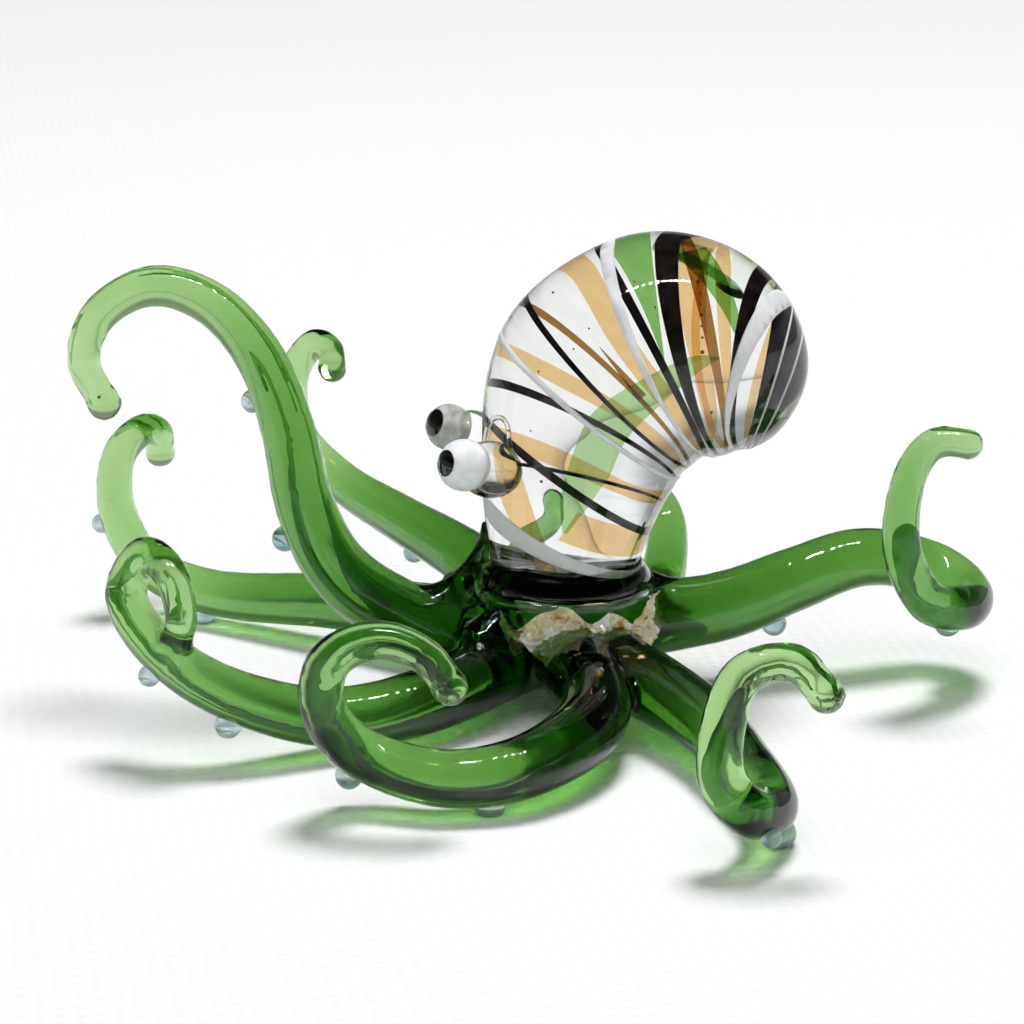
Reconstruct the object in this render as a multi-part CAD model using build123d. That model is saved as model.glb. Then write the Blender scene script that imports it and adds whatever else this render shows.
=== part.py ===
# Octopus figurine worked hot in solid glass. A bent, striped mantle of clear glass stands on a green
# hub, from which eight tapering arms run out and curl. It stands on glass suckers under the arms.
# Millimetres, +Z up. The face looks along -X, the floor is z = 0, and the neck's axis is x = y = 0
# until the last step, which moves the middle of the whole object's footprint to the origin.
from build123d import *
import math
import os

os.makedirs("parts", exist_ok=True)

# Shared values
foot_height = 0.9         # the floor to the underside of an arm that stands on its suckers
overrun = 1.0             # how far a cutting tool passes what it cuts
up = Vector(0, 0, 1)
frame_steps = 40          # steps in which a direction is carried along an arm

# The hub, and the dark collar and clear lip that join the mantle to it
hub_d = 17.6
hub_waist_d = 13.0        # its underside
hub_bottom = 1.6
hub_belly = 6.0           # height of the widest place
lip_bottom = 10.4
collar_bottom = 11.3
neck_height = 13.8        # where the clear glass starts
neck_d = 15.2
collar_d = 17.2
lip_d = 17.8              # over the bead
lip_bead_d = 1.6

# The arms. A route runs from the hub to the tip in shares of (reach, reach, rise): along the heading,
# to the left of it, and up from the height at which the arm would stand on its suckers.
# A sucker has its share of the arm's length, its turn in degrees from the underside, towards the left
# of the arm, and its size as a share of sucker_d.
root_zone = 17.5          # within this distance of the axis, neighbouring arms share a flat seam
seam_share = 0.7          # where in that zone an arm's own direction is read
sucker_d = 2.3
sucker_rise = 0.2         # how far a sucker's middle stands out of the arm's skin
arms = {
    "tall": {
        "heading": 180, "reach": 46.0, "rise": 38.0, "root_d": 7.6, "tip_d": 3.0, "ball_d": 3.5,
        "route_shares": [(0.07, 0.00, 0.03), (0.20, 0.01, 0.04), (0.35, 0.00, 0.12), (0.48, 0.00, 0.25),
                         (0.55, -0.01, 0.43), (0.58, -0.04, 0.63), (0.63, -0.09, 0.81), (0.72, -0.15, 0.94),
                         (0.84, -0.19, 0.99), (0.95, -0.23, 0.92), (0.99, -0.24, 0.80), (0.95, -0.23, 0.69)],
        "sucker_shares": [(0.36, -20, 1.1), (0.55, -30, 1.0)],
    },
    "back": {
        "heading": 115, "reach": 48.0, "rise": 24.0, "root_d": 6.8, "tip_d": 2.8, "ball_d": 3.2,
        "route_shares": [(0.07, 0.00, 0.09), (0.35, -0.01, 0.22), (0.65, -0.02, 0.29), (0.86, -0.01, 0.37),
                         (0.98, 0.03, 0.56), (0.99, 0.04, 0.82), (0.95, 0.01, 1.00), (0.89, 0.00, 1.00),
                         (0.85, 0.02, 0.94)],
        "sucker_shares": [(0.40, 0, 1.0), (0.72, 40, 1.0)],
    },
    "left": {
        "heading": 140, "reach": 54.0, "rise": 17.0, "root_d": 7.2, "tip_d": 3.0, "ball_d": 3.4,
        "route_shares": [(0.06, 0.00, 0.09), (0.25, 0.00, 0.07), (0.50, -0.01, 0.06), (0.77, -0.01, 0.00),
                         (0.93, 0.00, 0.13), (0.98, 0.03, 0.50), (0.99, 0.01, 0.82), (0.97, -0.04, 0.98),
                         (0.97, -0.10, 0.93), (0.99, -0.13, 0.78)],
        "sucker_shares": [(0.57, 0, 1.1), (0.76, 0, 0.9)],
    },
    "outer": {
        "heading": 216, "reach": 41.0, "rise": 17.0, "root_d": 7.6, "tip_d": 2.8, "ball_d": 3.2,
        "route_shares": [(0.07, 0.00, 0.05), (0.47, 0.02, 0.00), (0.70, -0.07, 0.00), (0.91, -0.17, 0.22),
                         (1.00, -0.30, 0.46), (1.01, -0.41, 0.73), (0.98, -0.38, 0.98), (0.99, -0.28, 0.95),
                         (1.00, -0.23, 0.75), (1.01, -0.24, 0.59)],
        "sucker_shares": [(0.38, 0, 1.1), (0.55, 10, 1.1), (0.66, 15, 0.9)],
    },
    "front": {
        "heading": 262, "reach": 38.0, "rise": 15.0, "root_d": 8.0, "tip_d": 3.0, "ball_d": 3.4,
        "route_shares": [(0.08, 0.00, 0.05), (0.55, 0.05, 0.05), (0.83, -0.10, 0.02), (0.90, -0.31, 0.00),
                         (0.85, -0.51, 0.13), (0.90, -0.60, 0.46), (0.93, -0.59, 0.81), (0.96, -0.48, 0.98),
                         (0.99, -0.37, 0.92), (0.99, -0.31, 0.73)],
        "sucker_shares": [(0.50, 0, 1.2), (0.66, 0, 1.1)],
    },
    "near": {
        "heading": 287, "reach": 52.0, "rise": 16.0, "root_d": 7.6, "tip_d": 3.0, "ball_d": 3.4,
        "route_shares": [(0.06, 0.00, 0.06), (0.44, 0.03, 0.03), (0.69, -0.01, 0.01), (0.86, -0.06, 0.02),
                         (0.94, -0.15, 0.13), (0.93, -0.20, 0.34), (0.92, -0.19, 0.67), (0.93, -0.16, 0.93),
                         (0.97, -0.09, 1.01), (0.99, -0.04, 0.83)],
        "sucker_shares": [(0.42, 0, 1.1), (0.60, 20, 1.2), (0.67, 40, 0.8)],
    },
    "right": {
        "heading": -2, "reach": 41.0, "rise": 24.0, "root_d": 7.8, "tip_d": 2.8, "ball_d": 3.1,
        "route_shares": [(0.07, 0.00, 0.07), (0.38, 0.00, 0.15), (0.56, 0.02, 0.25), (0.74, 0.04, 0.34),
                         (0.92, 0.07, 0.28), (0.99, -0.02, 0.22), (0.94, -0.16, 0.24), (0.83, -0.24, 0.33),
                         (0.76, -0.26, 0.58), (0.78, -0.23, 0.85), (0.84, -0.22, 1.00), (0.92, -0.23, 1.00)],
        "sucker_shares": [(0.24, 0, 1.1), (0.58, 10, 1.0)],
    },
    "rear": {
        "heading": 52, "reach": 31.0, "rise": 16.0, "root_d": 7.0, "tip_d": 2.8, "ball_d": 3.2,
        "route_shares": [(0.10, 0.00, 0.11), (0.52, -0.02, 0.02), (0.79, 0.03, 0.10), (0.97, 0.10, 0.37),
                         (1.00, 0.18, 0.57), (1.01, 0.30, 0.70), (1.01, 0.38, 0.85), (0.99, 0.34, 1.01)],
        "sucker_shares": [(0.28, 0, 1.1), (0.45, 0, 1.0)],
    },
}

# The mantle, a thick rod of clear glass bent over backwards round its crease: a widening neck, a bulb
# bent on an arc about the crease, and a round end
crease_back = 13.4        # the crease's place behind the neck's axis
crease_height = 22.5
bend_r = 12.2             # the crease to the middle of the bulb
bend_turn = 90            # degrees
throat_d = 20.0           # where the bend starts
crown_d = 21.8            # where the round end starts

# The coloured glass threads that hoop the mantle, let into its skin. A hoop's plane passes a pivot on the
# crease side, in shares of (crease_back, crease_height above the neck's foot). Then come its slope in
# degrees, its width at the outer side and at the pivot in shares of band_w, and its lean in degrees.
band_depth = 0.6
band_w = 1.0
band_shares = {
    "black": [(0.61, 0.23, 34, 1.0, 0.8, 8), (0.77, 0.95, 27, 1.0, 0.7, 8), (0.87, 1.05, 49, 1.2, 0.7, 6),
              (1.03, 1.20, 62, 1.0, 0.6, 4), (1.07, 1.20, 79, 3.0, 0.9, 3), (1.24, 1.20, 107, 1.6, 0.8, 0),
              (1.30, 1.20, 122, 4.0, 1.4, -4)],
    "white": [(0.57, -0.16, 19, 2.6, 1.6, 6), (0.75, 0.85, 43, 0.9, 0.6, 8), (1.00, 1.20, 70, 2.0, 0.8, 4),
              (1.20, 1.20, 100, 1.6, 0.9, 0)],
    "amber": [(0.60, 0.05, 26, 2.2, 1.6, 8), (0.68, 0.50, 33, 2.4, 1.4, 8), (0.95, 1.10, 56, 1.8, 1.0, 5),
              (1.12, 1.20, 86, 1.6, 0.9, 2), (1.16, 1.20, 92, 1.4, 0.8, 0)],
}

# The eyes: a clear boss on the mantle, a white ball on the boss and a black pupil let into the ball.
# Places are measured from the neck's axis, to either side of the face and from the floor. A boss runs
# from a root inside the mantle to the ball.
gaze_turn = 28            # degrees, from straight ahead to the side
gaze_lift = 14            # degrees above level
pupil_depth = 0.5
eyes = {
    "left": {"side": -1, "ahead": 11.0, "aside": 7.0, "height": 25.5, "ball_d": 5.0, "pupil_d": 2.6,
             "boss_ahead": 4.6, "boss_aside": 4.8, "boss_height": 23.6, "boss_d": 4.6},
    "right": {"side": 1, "ahead": 10.2, "aside": 7.0, "height": 25.6, "ball_d": 4.6, "pupil_d": 2.8,
              "boss_ahead": 4.6, "boss_aside": 4.8, "boss_height": 24.0, "boss_d": 4.2},
}


# The line down the middle of an arm. Its rod tapers, so the line's height follows the rod's radius.
def arm_path(arm):
    ahead = Vector(1, 0, 0).rotate(Axis.Z, arm["heading"])
    left = up.cross(ahead)
    flat = [ahead * (a * arm["reach"]) + left * (s * arm["reach"]) + up * (u * arm["rise"])
            for a, s, u in arm["route_shares"]]
    lengths = [0]
    for p, q in zip(flat, flat[1:]):
        lengths.append(lengths[-1] + (q - p).length)
    return Spline([p + up * (foot_height + arm_radius(arm, length / lengths[-1]))
                   for p, length in zip(flat, lengths)])


def arm_radius(arm, share):
    return (arm["root_d"] + (arm["tip_d"] - arm["root_d"]) * share) / 2


# The middle, tangent and underside direction at a share of an arm's length, carried out from the hub
def arm_place(path, share):
    under = up * -1
    for k in range(frame_steps + 1):
        tangent = path.tangent_at(share * k / frame_steps)
        under = (under - tangent * under.dot(tangent)).normalized()
    return path.position_at(share), tangent, under


# A plain arm before it is trimmed to its neighbours
def arm_rod(arm, path):
    root = Plane(origin=path @ 0, z_dir=path % 0) * Circle(arm["root_d"] / 2)
    tip = Plane(origin=path @ 1, z_dir=path % 1) * Circle(arm["tip_d"] / 2)
    return sweep([root, tip], path=path, multisection=True) + Pos(path @ 1) * Sphere(arm["ball_d"] / 2)


# Each arm's heading where it leaves the hub, which sets the flat seams between neighbours
def root_headings(paths):
    headings = {}
    for name, path in paths.items():
        places = [path @ (k / frame_steps) for k in range(frame_steps)]
        p = next(p for p in places if math.hypot(p.X, p.Y) > root_zone * seam_share)
        headings[name] = math.degrees(math.atan2(p.Y, p.X)) % 360
    return headings


# The root zone outside one arm's own wedge
def neighbour_zone(name, headings):
    order = sorted(headings, key=headings.get)
    k = order.index(name)
    here = headings[name]
    before = (here - headings[order[k - 1]]) % 360
    after = (headings[order[(k + 1) % len(order)]] - here) % 360
    far = root_zone * 2
    edges = [here - before / 2, here, here + after / 2]
    corners = [(0, 0)] + [(far * math.cos(math.radians(e)), far * math.sin(math.radians(e))) for e in edges]
    zone = Pos(0, 0, collar_bottom) * Cylinder(root_zone, collar_bottom * 4)
    wedge = Pos(0, 0, -collar_bottom * 2) * extrude(make_face(Polyline(*corners, close=True)), collar_bottom * 6)
    return zone - wedge


# The largest solid of a cut shape, without crumbs
def main_solid(shape):
    return Part(max(shape.solids(), key=lambda s: s.volume).wrapped)


# The green hub: a squat body under the collar
def hub_body():
    outline = [(0, hub_bottom), (hub_waist_d / 2, hub_bottom)]
    side = ThreePointArc(outline[1], (hub_d / 2, hub_belly), (lip_d / 2 - lip_bead_d / 2, lip_bottom))
    top = [side @ 1, (0, lip_bottom), (0, hub_bottom)]
    profile = make_face(Plane.XZ * (Polyline(*outline) + side + Polyline(*top)))
    return revolve(profile, Axis.Z)


# The clear lip, a bead of the mantle's glass pressed out where it was joined to the hub
def lip_ring():
    bead_r = lip_bead_d / 2
    disc = Pos(0, 0, (lip_bottom + collar_bottom) / 2) * Cylinder(lip_d / 2 - bead_r, collar_bottom - lip_bottom)
    bead = Pos(0, 0, (lip_bottom + collar_bottom) / 2) * Torus(lip_d / 2 - bead_r, bead_r)
    slab = Pos(0, 0, (lip_bottom + collar_bottom) / 2) * Cylinder(lip_d, collar_bottom - lip_bottom)
    return (disc + bead) & slab


# The dark collar between the lip and the clear neck
def collar_body():
    low = Pos(0, 0, collar_bottom) * Circle(collar_d / 2)
    middle = Pos(0, 0, (collar_bottom + neck_height) / 2) * Circle((collar_d + neck_d * 3) / 8)
    top = Pos(0, 0, neck_height) * Circle(neck_d / 2)
    return loft([low, middle, top])


# The mantle's outer form, or the same form with its skin taken off
def mantle_rod(skin):
    foot = Pos(0, 0, neck_height) * Circle(neck_d / 2 - skin)
    throat = Pos(crease_back - bend_r, 0, crease_height) * Circle(throat_d / 2 - skin)
    spine = Plane.XZ * CenterArc((crease_back, crease_height), bend_r, 180, -bend_turn)
    start = Plane(origin=spine @ 0, z_dir=spine % 0) * Circle(throat_d / 2 - skin)
    crown = Plane(origin=spine @ 1, z_dir=spine % 1)
    bulb = sweep([start, crown * Circle(crown_d / 2 - skin)], path=spine, multisection=True)
    return loft([foot, throat]) + bulb + crown * Sphere(crown_d / 2 - skin)


# The wedge that one hoop takes out of the mantle's skin
def hoop_wedge(back_share, height_share, slope, outer_share, pivot_share, lean):
    pivot = Vector(crease_back * back_share, 0, neck_height + height_share * (crease_height - neck_height))
    way = Vector(-math.cos(math.radians(slope)), 0, math.sin(math.radians(slope)))
    side = way.cross(Vector(0, 1, 0))
    reach = crown_d + bend_r
    inner = pivot - way * (band_depth + overrun)
    outer = pivot + way * reach
    low = side * (pivot_share * band_w / 2)
    high = side * (outer_share * band_w / 2 * reach / crown_d)
    face = make_face(Polyline(inner - low, outer - high, outer + high, inner + low, close=True))
    return extrude(face, crown_d, both=True, dir=(0, 1, 0)).rotate(Axis(pivot, way), lean)


# Every hoop of one colour that the colours before it leave free
def hoops(rows, skin, taken):
    group = []
    for row in rows:
        ring = skin & hoop_wedge(*row)
        for other in taken + group:
            ring = ring - other
        group.append(Part(ring.wrapped))
    return group


# One eye's boss, ball and pupil
def eye_pieces(eye, mantle_form):
    side = eye["side"]
    middle = Vector(-eye["ahead"], side * eye["aside"], eye["height"])
    boss_root = Vector(-eye["boss_ahead"], side * eye["boss_aside"], eye["boss_height"])
    turn, lift = math.radians(gaze_turn), math.radians(gaze_lift)
    gaze = Vector(-math.cos(turn) * math.cos(lift), side * math.sin(turn) * math.cos(lift), math.sin(lift))
    ball = Pos(middle) * Sphere(eye["ball_d"] / 2)
    core = Pos(middle) * Sphere(eye["ball_d"] / 2 - pupil_depth)
    post = Plane(origin=middle, z_dir=gaze) * extrude(Circle(eye["pupil_d"] / 2), eye["ball_d"])
    pupil = (ball - core) & post
    stem = Plane(origin=boss_root, z_dir=middle - boss_root) * Circle(eye["boss_d"] / 2)
    boss = main_solid(extrude(stem, (middle - boss_root).length) - mantle_form - ball)
    return boss, ball - pupil, pupil


# The suckers of one arm, cut flat where they stand on the floor
def arm_suckers(arm, path, rod):
    drops = []
    floor = Pos(0, 0, -sucker_d) * Box(arm["reach"] * 3, arm["reach"] * 3, sucker_d * 2)
    for share, turn, size in arm["sucker_shares"]:
        middle, tangent, under = arm_place(path, share)
        way = under * math.cos(math.radians(turn)) + tangent.cross(under) * math.sin(math.radians(turn))
        drop_r = sucker_d * size / 2
        drop = Pos(middle + way * (arm_radius(arm, share) + drop_r * sucker_rise)) * Sphere(drop_r)
        drops.append(main_solid(drop - rod - floor))
    return drops


nodes = {}
mantle_form = mantle_rod(0)
skin = mantle_form - mantle_rod(band_depth)
taken = []
for colour, rows in band_shares.items():
    group = hoops(rows, skin, taken)
    taken += group
    nodes[colour + "_bands"] = group
nodes["mantle"] = [mantle_form - taken]
nodes["hub"] = [hub_body()]
nodes["neck_lip"] = [lip_ring()]
nodes["collar"] = [collar_body()]
core = nodes["hub"][0] + nodes["neck_lip"][0] + nodes["collar"][0]
paths = {name: arm_path(arm) for name, arm in arms.items()}
headings = root_headings(paths)
for name, arm in arms.items():
    rod = main_solid(arm_rod(arm, paths[name]) - core - neighbour_zone(name, headings))
    nodes["arm_" + name] = [rod]
    nodes["suckers_" + name] = arm_suckers(arm, paths[name], rod)
for name, eye in eyes.items():
    boss, white, pupil = eye_pieces(eye, mantle_form)
    nodes[name + "_eye_boss"] = [boss]
    nodes[name + "_eye_white"] = [white]
    nodes[name + "_eye_pupil"] = [pupil]

# The middle of the footprint goes to the origin
box = Compound([solid for group in nodes.values() for piece in group for solid in piece.solids()]).bounding_box()
shift = Pos(-box.center().X, -box.center().Y, 0)
for name, group in nodes.items():
    solids = [solid for piece in group for solid in (shift * piece).solids()]
    export_step(Compound(solids), f"parts/{name}.step")
    print(name, len(solids), "solids")
print("neck axis at", round(-box.center().X, 2), round(-box.center().Y, 2), "size", box.size)
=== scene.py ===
import math

import bmesh
import bpy
from mathutils import Matrix, Vector, noise
from mathutils.bvhtree import BVHTree


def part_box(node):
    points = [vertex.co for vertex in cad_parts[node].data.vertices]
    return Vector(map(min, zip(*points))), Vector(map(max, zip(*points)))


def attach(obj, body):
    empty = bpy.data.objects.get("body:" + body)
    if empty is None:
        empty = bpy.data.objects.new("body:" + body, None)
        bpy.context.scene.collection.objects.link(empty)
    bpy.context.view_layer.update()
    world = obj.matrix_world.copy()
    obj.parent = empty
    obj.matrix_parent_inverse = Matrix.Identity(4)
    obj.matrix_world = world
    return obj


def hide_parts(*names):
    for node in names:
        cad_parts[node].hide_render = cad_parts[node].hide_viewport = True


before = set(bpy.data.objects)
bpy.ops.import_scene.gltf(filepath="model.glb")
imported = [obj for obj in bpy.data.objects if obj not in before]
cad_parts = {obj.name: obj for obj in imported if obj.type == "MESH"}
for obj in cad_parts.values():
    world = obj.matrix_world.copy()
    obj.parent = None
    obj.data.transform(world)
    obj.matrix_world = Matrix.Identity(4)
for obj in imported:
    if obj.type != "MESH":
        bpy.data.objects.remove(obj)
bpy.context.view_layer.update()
scene = bpy.context.scene
mm = 0.001

# Everything grows from the middle of the neck
low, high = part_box("collar")
neckX, neckY = (low.x + high.x) / 2, (low.y + high.y) / 2


def spot(x, y, z):  # millimetres from the neck's middle line and the floor
    return Vector((neckX + x * mm, neckY + y * mm, z * mm))


middle, hubMiddle = spot(0, 0, 0), spot(0, 0, 6)

# Camera: the photograph's own view
camera = {"place": (-60.06, -311.52, 109.32), "aim": (-4.98, 0.88, 18.36), "lens": 118.8, "sensor": 36.0,
          "near": 0.01, "far": 20}
cameraData = bpy.data.cameras.new("camera")
cameraData.lens = camera["lens"]
cameraData.sensor_width = camera["sensor"]
cameraObject = bpy.data.objects.new("camera", cameraData)
scene.collection.objects.link(cameraObject)
cameraPlace = spot(*camera["place"])
cameraTurn = (spot(*camera["aim"]) - cameraPlace).to_track_quat("-Z", "Y")
cameraObject.location = cameraPlace
cameraObject.rotation_mode = "QUATERNION"
cameraObject.rotation_quaternion = cameraTurn
cameraData.clip_start, cameraData.clip_end = camera["near"], camera["far"]
scene.camera = cameraObject
print("camera ready")


# Materials
def toLinear(colour):  # an sRGB hex colour, turned linear
    parts = [int(colour[k:k + 2], 16) / 255 for k in (1, 3, 5)]
    return [c / 12.92 if c <= 0.04045 else ((c + 0.055) / 1.055) ** 2.4 for c in parts] + [1.0]


def addNode(tree, kind, settings, sockets):
    node = tree.nodes.new(kind)
    for name, value in settings.items():
        setattr(node, name, value)
    for name, value in sockets.items():
        if isinstance(value, bpy.types.NodeSocket):
            tree.links.new(value, node.inputs[name])
        else:
            node.inputs[name].default_value = value
    return node


def newMaterial(name):
    material = bpy.data.materials.new(name)
    material.use_nodes = True
    material.node_tree.nodes.clear()
    return material, material.node_tree


def speckle(tree, size, sockets):  # noise with grains of that size in mm
    place = addNode(tree, "ShaderNodeTexCoord", {}, {})
    made = addNode(tree, "ShaderNodeTexNoise", {}, {
        "Vector": place.outputs["Object"], "Scale": 1 / (size * mm), **sockets})
    return made.outputs[0]


def colourRamp(tree, value, stops):  # stops are places from 0 to 1 with sRGB colours
    ramp = addNode(tree, "ShaderNodeValToRGB", {}, {"Fac": value})
    ends = ramp.color_ramp.elements
    for end, (place, colour) in zip(ends, (stops[0], stops[-1])):
        end.position, end.color = place, toLinear(colour)
    for place, colour in stops[1:-1]:
        ends.new(place).color = toLinear(colour)
    return ramp.outputs[0]


def firePolish(tree, size, depth):  # the slow waviness that a flame leaves, as a bump; size and depth in mm
    wave = speckle(tree, size, {"Detail": 1.0, "Roughness": 0.4})
    bump = addNode(tree, "ShaderNodeBump", {}, {"Strength": 1.0, "Distance": depth * mm, "Height": wave})
    return bump.outputs["Normal"]


def glass(name, tint, density, waveSize, waveDepth, stops=(), ior=1.51):
    # density is per metre: thick runs go deep in colour and thin tips stay pale, as in one coloured rod;
    # stops are painted shade: a base colour at distances in mm from the middle of the hub, darker near it
    material, tree = newMaterial(name)
    shader = addNode(tree, "ShaderNodeBsdfPrincipled", {}, {
        "Base Color": (1, 1, 1, 1), "Roughness": 0.0, "IOR": ior, "Transmission Weight": 1.0,
        "Normal": firePolish(tree, waveSize, waveDepth)})
    if stops:
        place = addNode(tree, "ShaderNodeTexCoord", {}, {})
        away = addNode(tree, "ShaderNodeVectorMath", {"operation": "DISTANCE"}, {
            0: place.outputs["Object"], 1: hubMiddle})
        first, last = stops[0][0], stops[-1][0]
        share = addNode(tree, "ShaderNodeMapRange", {}, {
            "Value": away.outputs["Value"], "From Min": first * mm, "From Max": last * mm})
        rows = [((distance - first) / (last - first), colour) for distance, colour in stops]
        tree.links.new(colourRamp(tree, share.outputs[0], rows), shader.inputs["Base Color"])
    absorb = addNode(tree, "ShaderNodeVolumeAbsorption", {}, {"Color": toLinear(tint), "Density": density})
    addNode(tree, "ShaderNodeOutputMaterial", {}, {"Surface": shader.outputs[0], "Volume": absorb.outputs[0]})
    return material


# Soda-lime rod coloured with iron and chrome, bent in a flame: bottle green that deepens with thickness
# its stops are painted shade: the base colour is darkest at the hub and white from 48 mm out
greenGlass = glass("green_soda_glass_flameworked", "#a1d945", 420, 5.0, 0.012, (
    (12, "#98b588"), (26, "#b0cba2"), (38, "#c6dcbb"), (48, "#ffffff")))
# Green rod wound so thickly at the neck that it is all but black
collarGlass = glass("dark_green_soda_glass_wound", "#8fc24a", 1900, 2.2, 0.05)
# The same kind of glass without colour, gathered and bent over hot: a clean lens with a trace of grey
clearGlass = glass("clear_soda_glass_gathered", "#c9d2c4", 12, 7.0, 0.006)
# A bead of it fused to the mantle: with glass on one side it bends light less than a loose bead would
beadGlass = glass("clear_soda_glass_fused_on", "#c9d2c4", 12, 7.0, 0.006, ior=1.28)


def coreThread(name, dark, light, grain, clearness=0.0):  # coloured thread, melted in under the clear skin
    material, tree = newMaterial(name)
    streak = colourRamp(tree, speckle(tree, grain, {"Detail": 3.0}), [(0.35, dark), (0.7, light)])
    shader = addNode(tree, "ShaderNodeBsdfPrincipled", {}, {
        "Base Color": streak, "Roughness": 0.35, "IOR": 1.05, "Specular IOR Level": 0.1,
        "Transmission Weight": clearness})
    addNode(tree, "ShaderNodeOutputMaterial", {}, {"Surface": shader.outputs[0]})
    return material


# Manganese-black thread: all but opaque, brown where it thins at its edges
blackThread = coreThread("black_glass_thread", "#0d0b0b", "#2a211c", 1.6)
# Opal thread: milky, greyer where the clear glass below shows through, and lit from behind as from in front
whiteThread = coreThread("opal_white_glass_thread", "#eef1f3", "#ffffff", 2.2, 0.25)


def tintedThread(name, tint):  # transparent thread in glass of its own kind: it colours and doesn't bend light
    material, tree = newMaterial(name)
    shader = addNode(tree, "ShaderNodeBsdfPrincipled", {}, {
        "Base Color": toLinear(tint), "Roughness": 0.0, "IOR": 1.0, "Transmission Weight": 1.0})
    addNode(tree, "ShaderNodeOutputMaterial", {}, {"Surface": shader.outputs[0]})
    return material


# Silver-stained amber: honey yellow in a thin layer
amberThread = tintedThread("amber_glass_thread", "#eecb92")
# The same, drawn thick: brown
brownThread = tintedThread("brown_glass_thread", "#a0763c")
# Painted refraction: green streaks low in the clear glass, as pale as the arms' tips, standing in for the arms
# seen through the mantle
greenRefractionStreak = tintedThread("green_streak_painted_refraction", "#86bb68")
# Painted refraction: a thicker green rod deeper in the glass, standing in for an arm seen through the mantle;
# paler, because light crosses both its sides
caneRefractionGlass = tintedThread("green_glass_cane_painted_refraction", "#b5d69a")


def opalDrop(name, milk, blue, clearness):  # opalescent glass drop: bluish by reflected light, soft inside
    material, tree = newMaterial(name)
    cloudSize = 1.4
    cloud = colourRamp(tree, speckle(tree, cloudSize, {"Detail": 2.0}), [(0.38, blue), (0.62, milk)])
    shader = addNode(tree, "ShaderNodeBsdfPrincipled", {}, {
        "Base Color": cloud, "Roughness": 0.04, "IOR": 1.5, "Transmission Weight": clearness})
    addNode(tree, "ShaderNodeOutputMaterial", {}, {"Surface": shader.outputs[0]})
    return material


opalGlass = opalDrop("opal_glass_drop", "#fafcfc", "#a9cfe0", 0.75)
# The near eye's white: enamel-white glass bead; the far one is a greyer copy of it, painted shade, that lets
# light through
eyeWhite = {"left": opalDrop("white_glass_bead", "#ffffff", "#eef3f6", 0.0),
            "right": opalDrop("white_glass_bead_painted_shade", "#f4f5f2", "#bdbcb4", 0.45)}


def plainBead(name, colour):  # black glass dot, fire-polished
    material, tree = newMaterial(name)
    shader = addNode(tree, "ShaderNodeBsdfPrincipled", {}, {
        "Base Color": toLinear(colour), "Roughness": 0.02, "IOR": 1.5, "Coat Weight": 0.6})
    addNode(tree, "ShaderNodeOutputMaterial", {}, {"Surface": shader.outputs[0]})
    return material


pupilGlass = plainBead("black_glass_dot", "#080809")


def fumedGlass(name):  # silver melted between two gathers: cream and amber facets that glint as foil does
    material, tree = newMaterial(name)
    foil = {"flake": 2.0, "facet": 1.5, "relief": 0.2}
    flake = colourRamp(tree, speckle(tree, foil["flake"], {"Detail": 3.0, "Roughness": 0.6}), [
        (0.28, "#3c4a22"), (0.36, "#d9ab55"), (0.43, "#f8f0d2"), (0.52, "#eed9a0"), (0.58, "#fdfaee"),
        (0.70, "#ffffff")])
    place = addNode(tree, "ShaderNodeTexCoord", {}, {})
    facet = addNode(tree, "ShaderNodeTexVoronoi", {}, {
        "Vector": place.outputs["Object"], "Scale": 1 / (foil["facet"] * mm)})
    bump = addNode(tree, "ShaderNodeBump", {}, {
        "Strength": 1.0, "Distance": foil["relief"] * mm, "Height": facet.outputs["Distance"]})
    shader = addNode(tree, "ShaderNodeBsdfPrincipled", {}, {
        "Base Color": flake, "Roughness": 0.15, "Metallic": 0.1, "Coat Weight": 1.0,
        "Normal": bump.outputs["Normal"]})
    addNode(tree, "ShaderNodeOutputMaterial", {}, {"Surface": shader.outputs[0]})
    return material


fumeGlass = fumedGlass("silver_fumed_glass_crumpled")
# Seeds: specks and tiny bubbles caught in the clear glass
seedGlass = opalDrop("seed_bubbles_in_glass", "#8c8274", "#4a4138", 0.5)
print("materials ready")


# Small helpers for new pieces
def newObject(name, bm):
    mesh = bpy.data.meshes.new(name)
    bm.to_mesh(mesh)
    bm.free()
    made = bpy.data.objects.new(name, mesh)
    scene.collection.objects.link(made)
    return made


def finishPiece(name, bm, material, nodes, smooth=True):
    dressPiece(newObject(name, bm), material, nodes, smooth)


def dressPiece(piece, material, nodes, smooth=True):
    piece.data.materials.clear()
    piece.data.materials.append(material)
    if smooth:
        piece.data.shade_smooth()
    else:
        piece.data.shade_flat()
    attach(piece, "root")
    if nodes:
        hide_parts(*nodes)
    print(piece.name, len(piece.data.polygons), "faces")


def weld(bm):
    bmesh.ops.remove_doubles(bm, verts=bm.verts, dist=1e-7)


def faceOut(bm):
    bmesh.ops.recalc_face_normals(bm, faces=bm.faces)


def cutOff(bm, place, way, **side):
    return bmesh.ops.bisect_plane(bm, geom=list(bm.verts) + list(bm.edges) + list(bm.faces), dist=1e-8,
                                  plane_co=place, plane_no=way, **side)


def applied(piece):  # the mesh with its modifiers, as a new one
    graph = bpy.context.evaluated_depsgraph_get()
    return bpy.data.meshes.new_from_object(piece.evaluated_get(graph))


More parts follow.
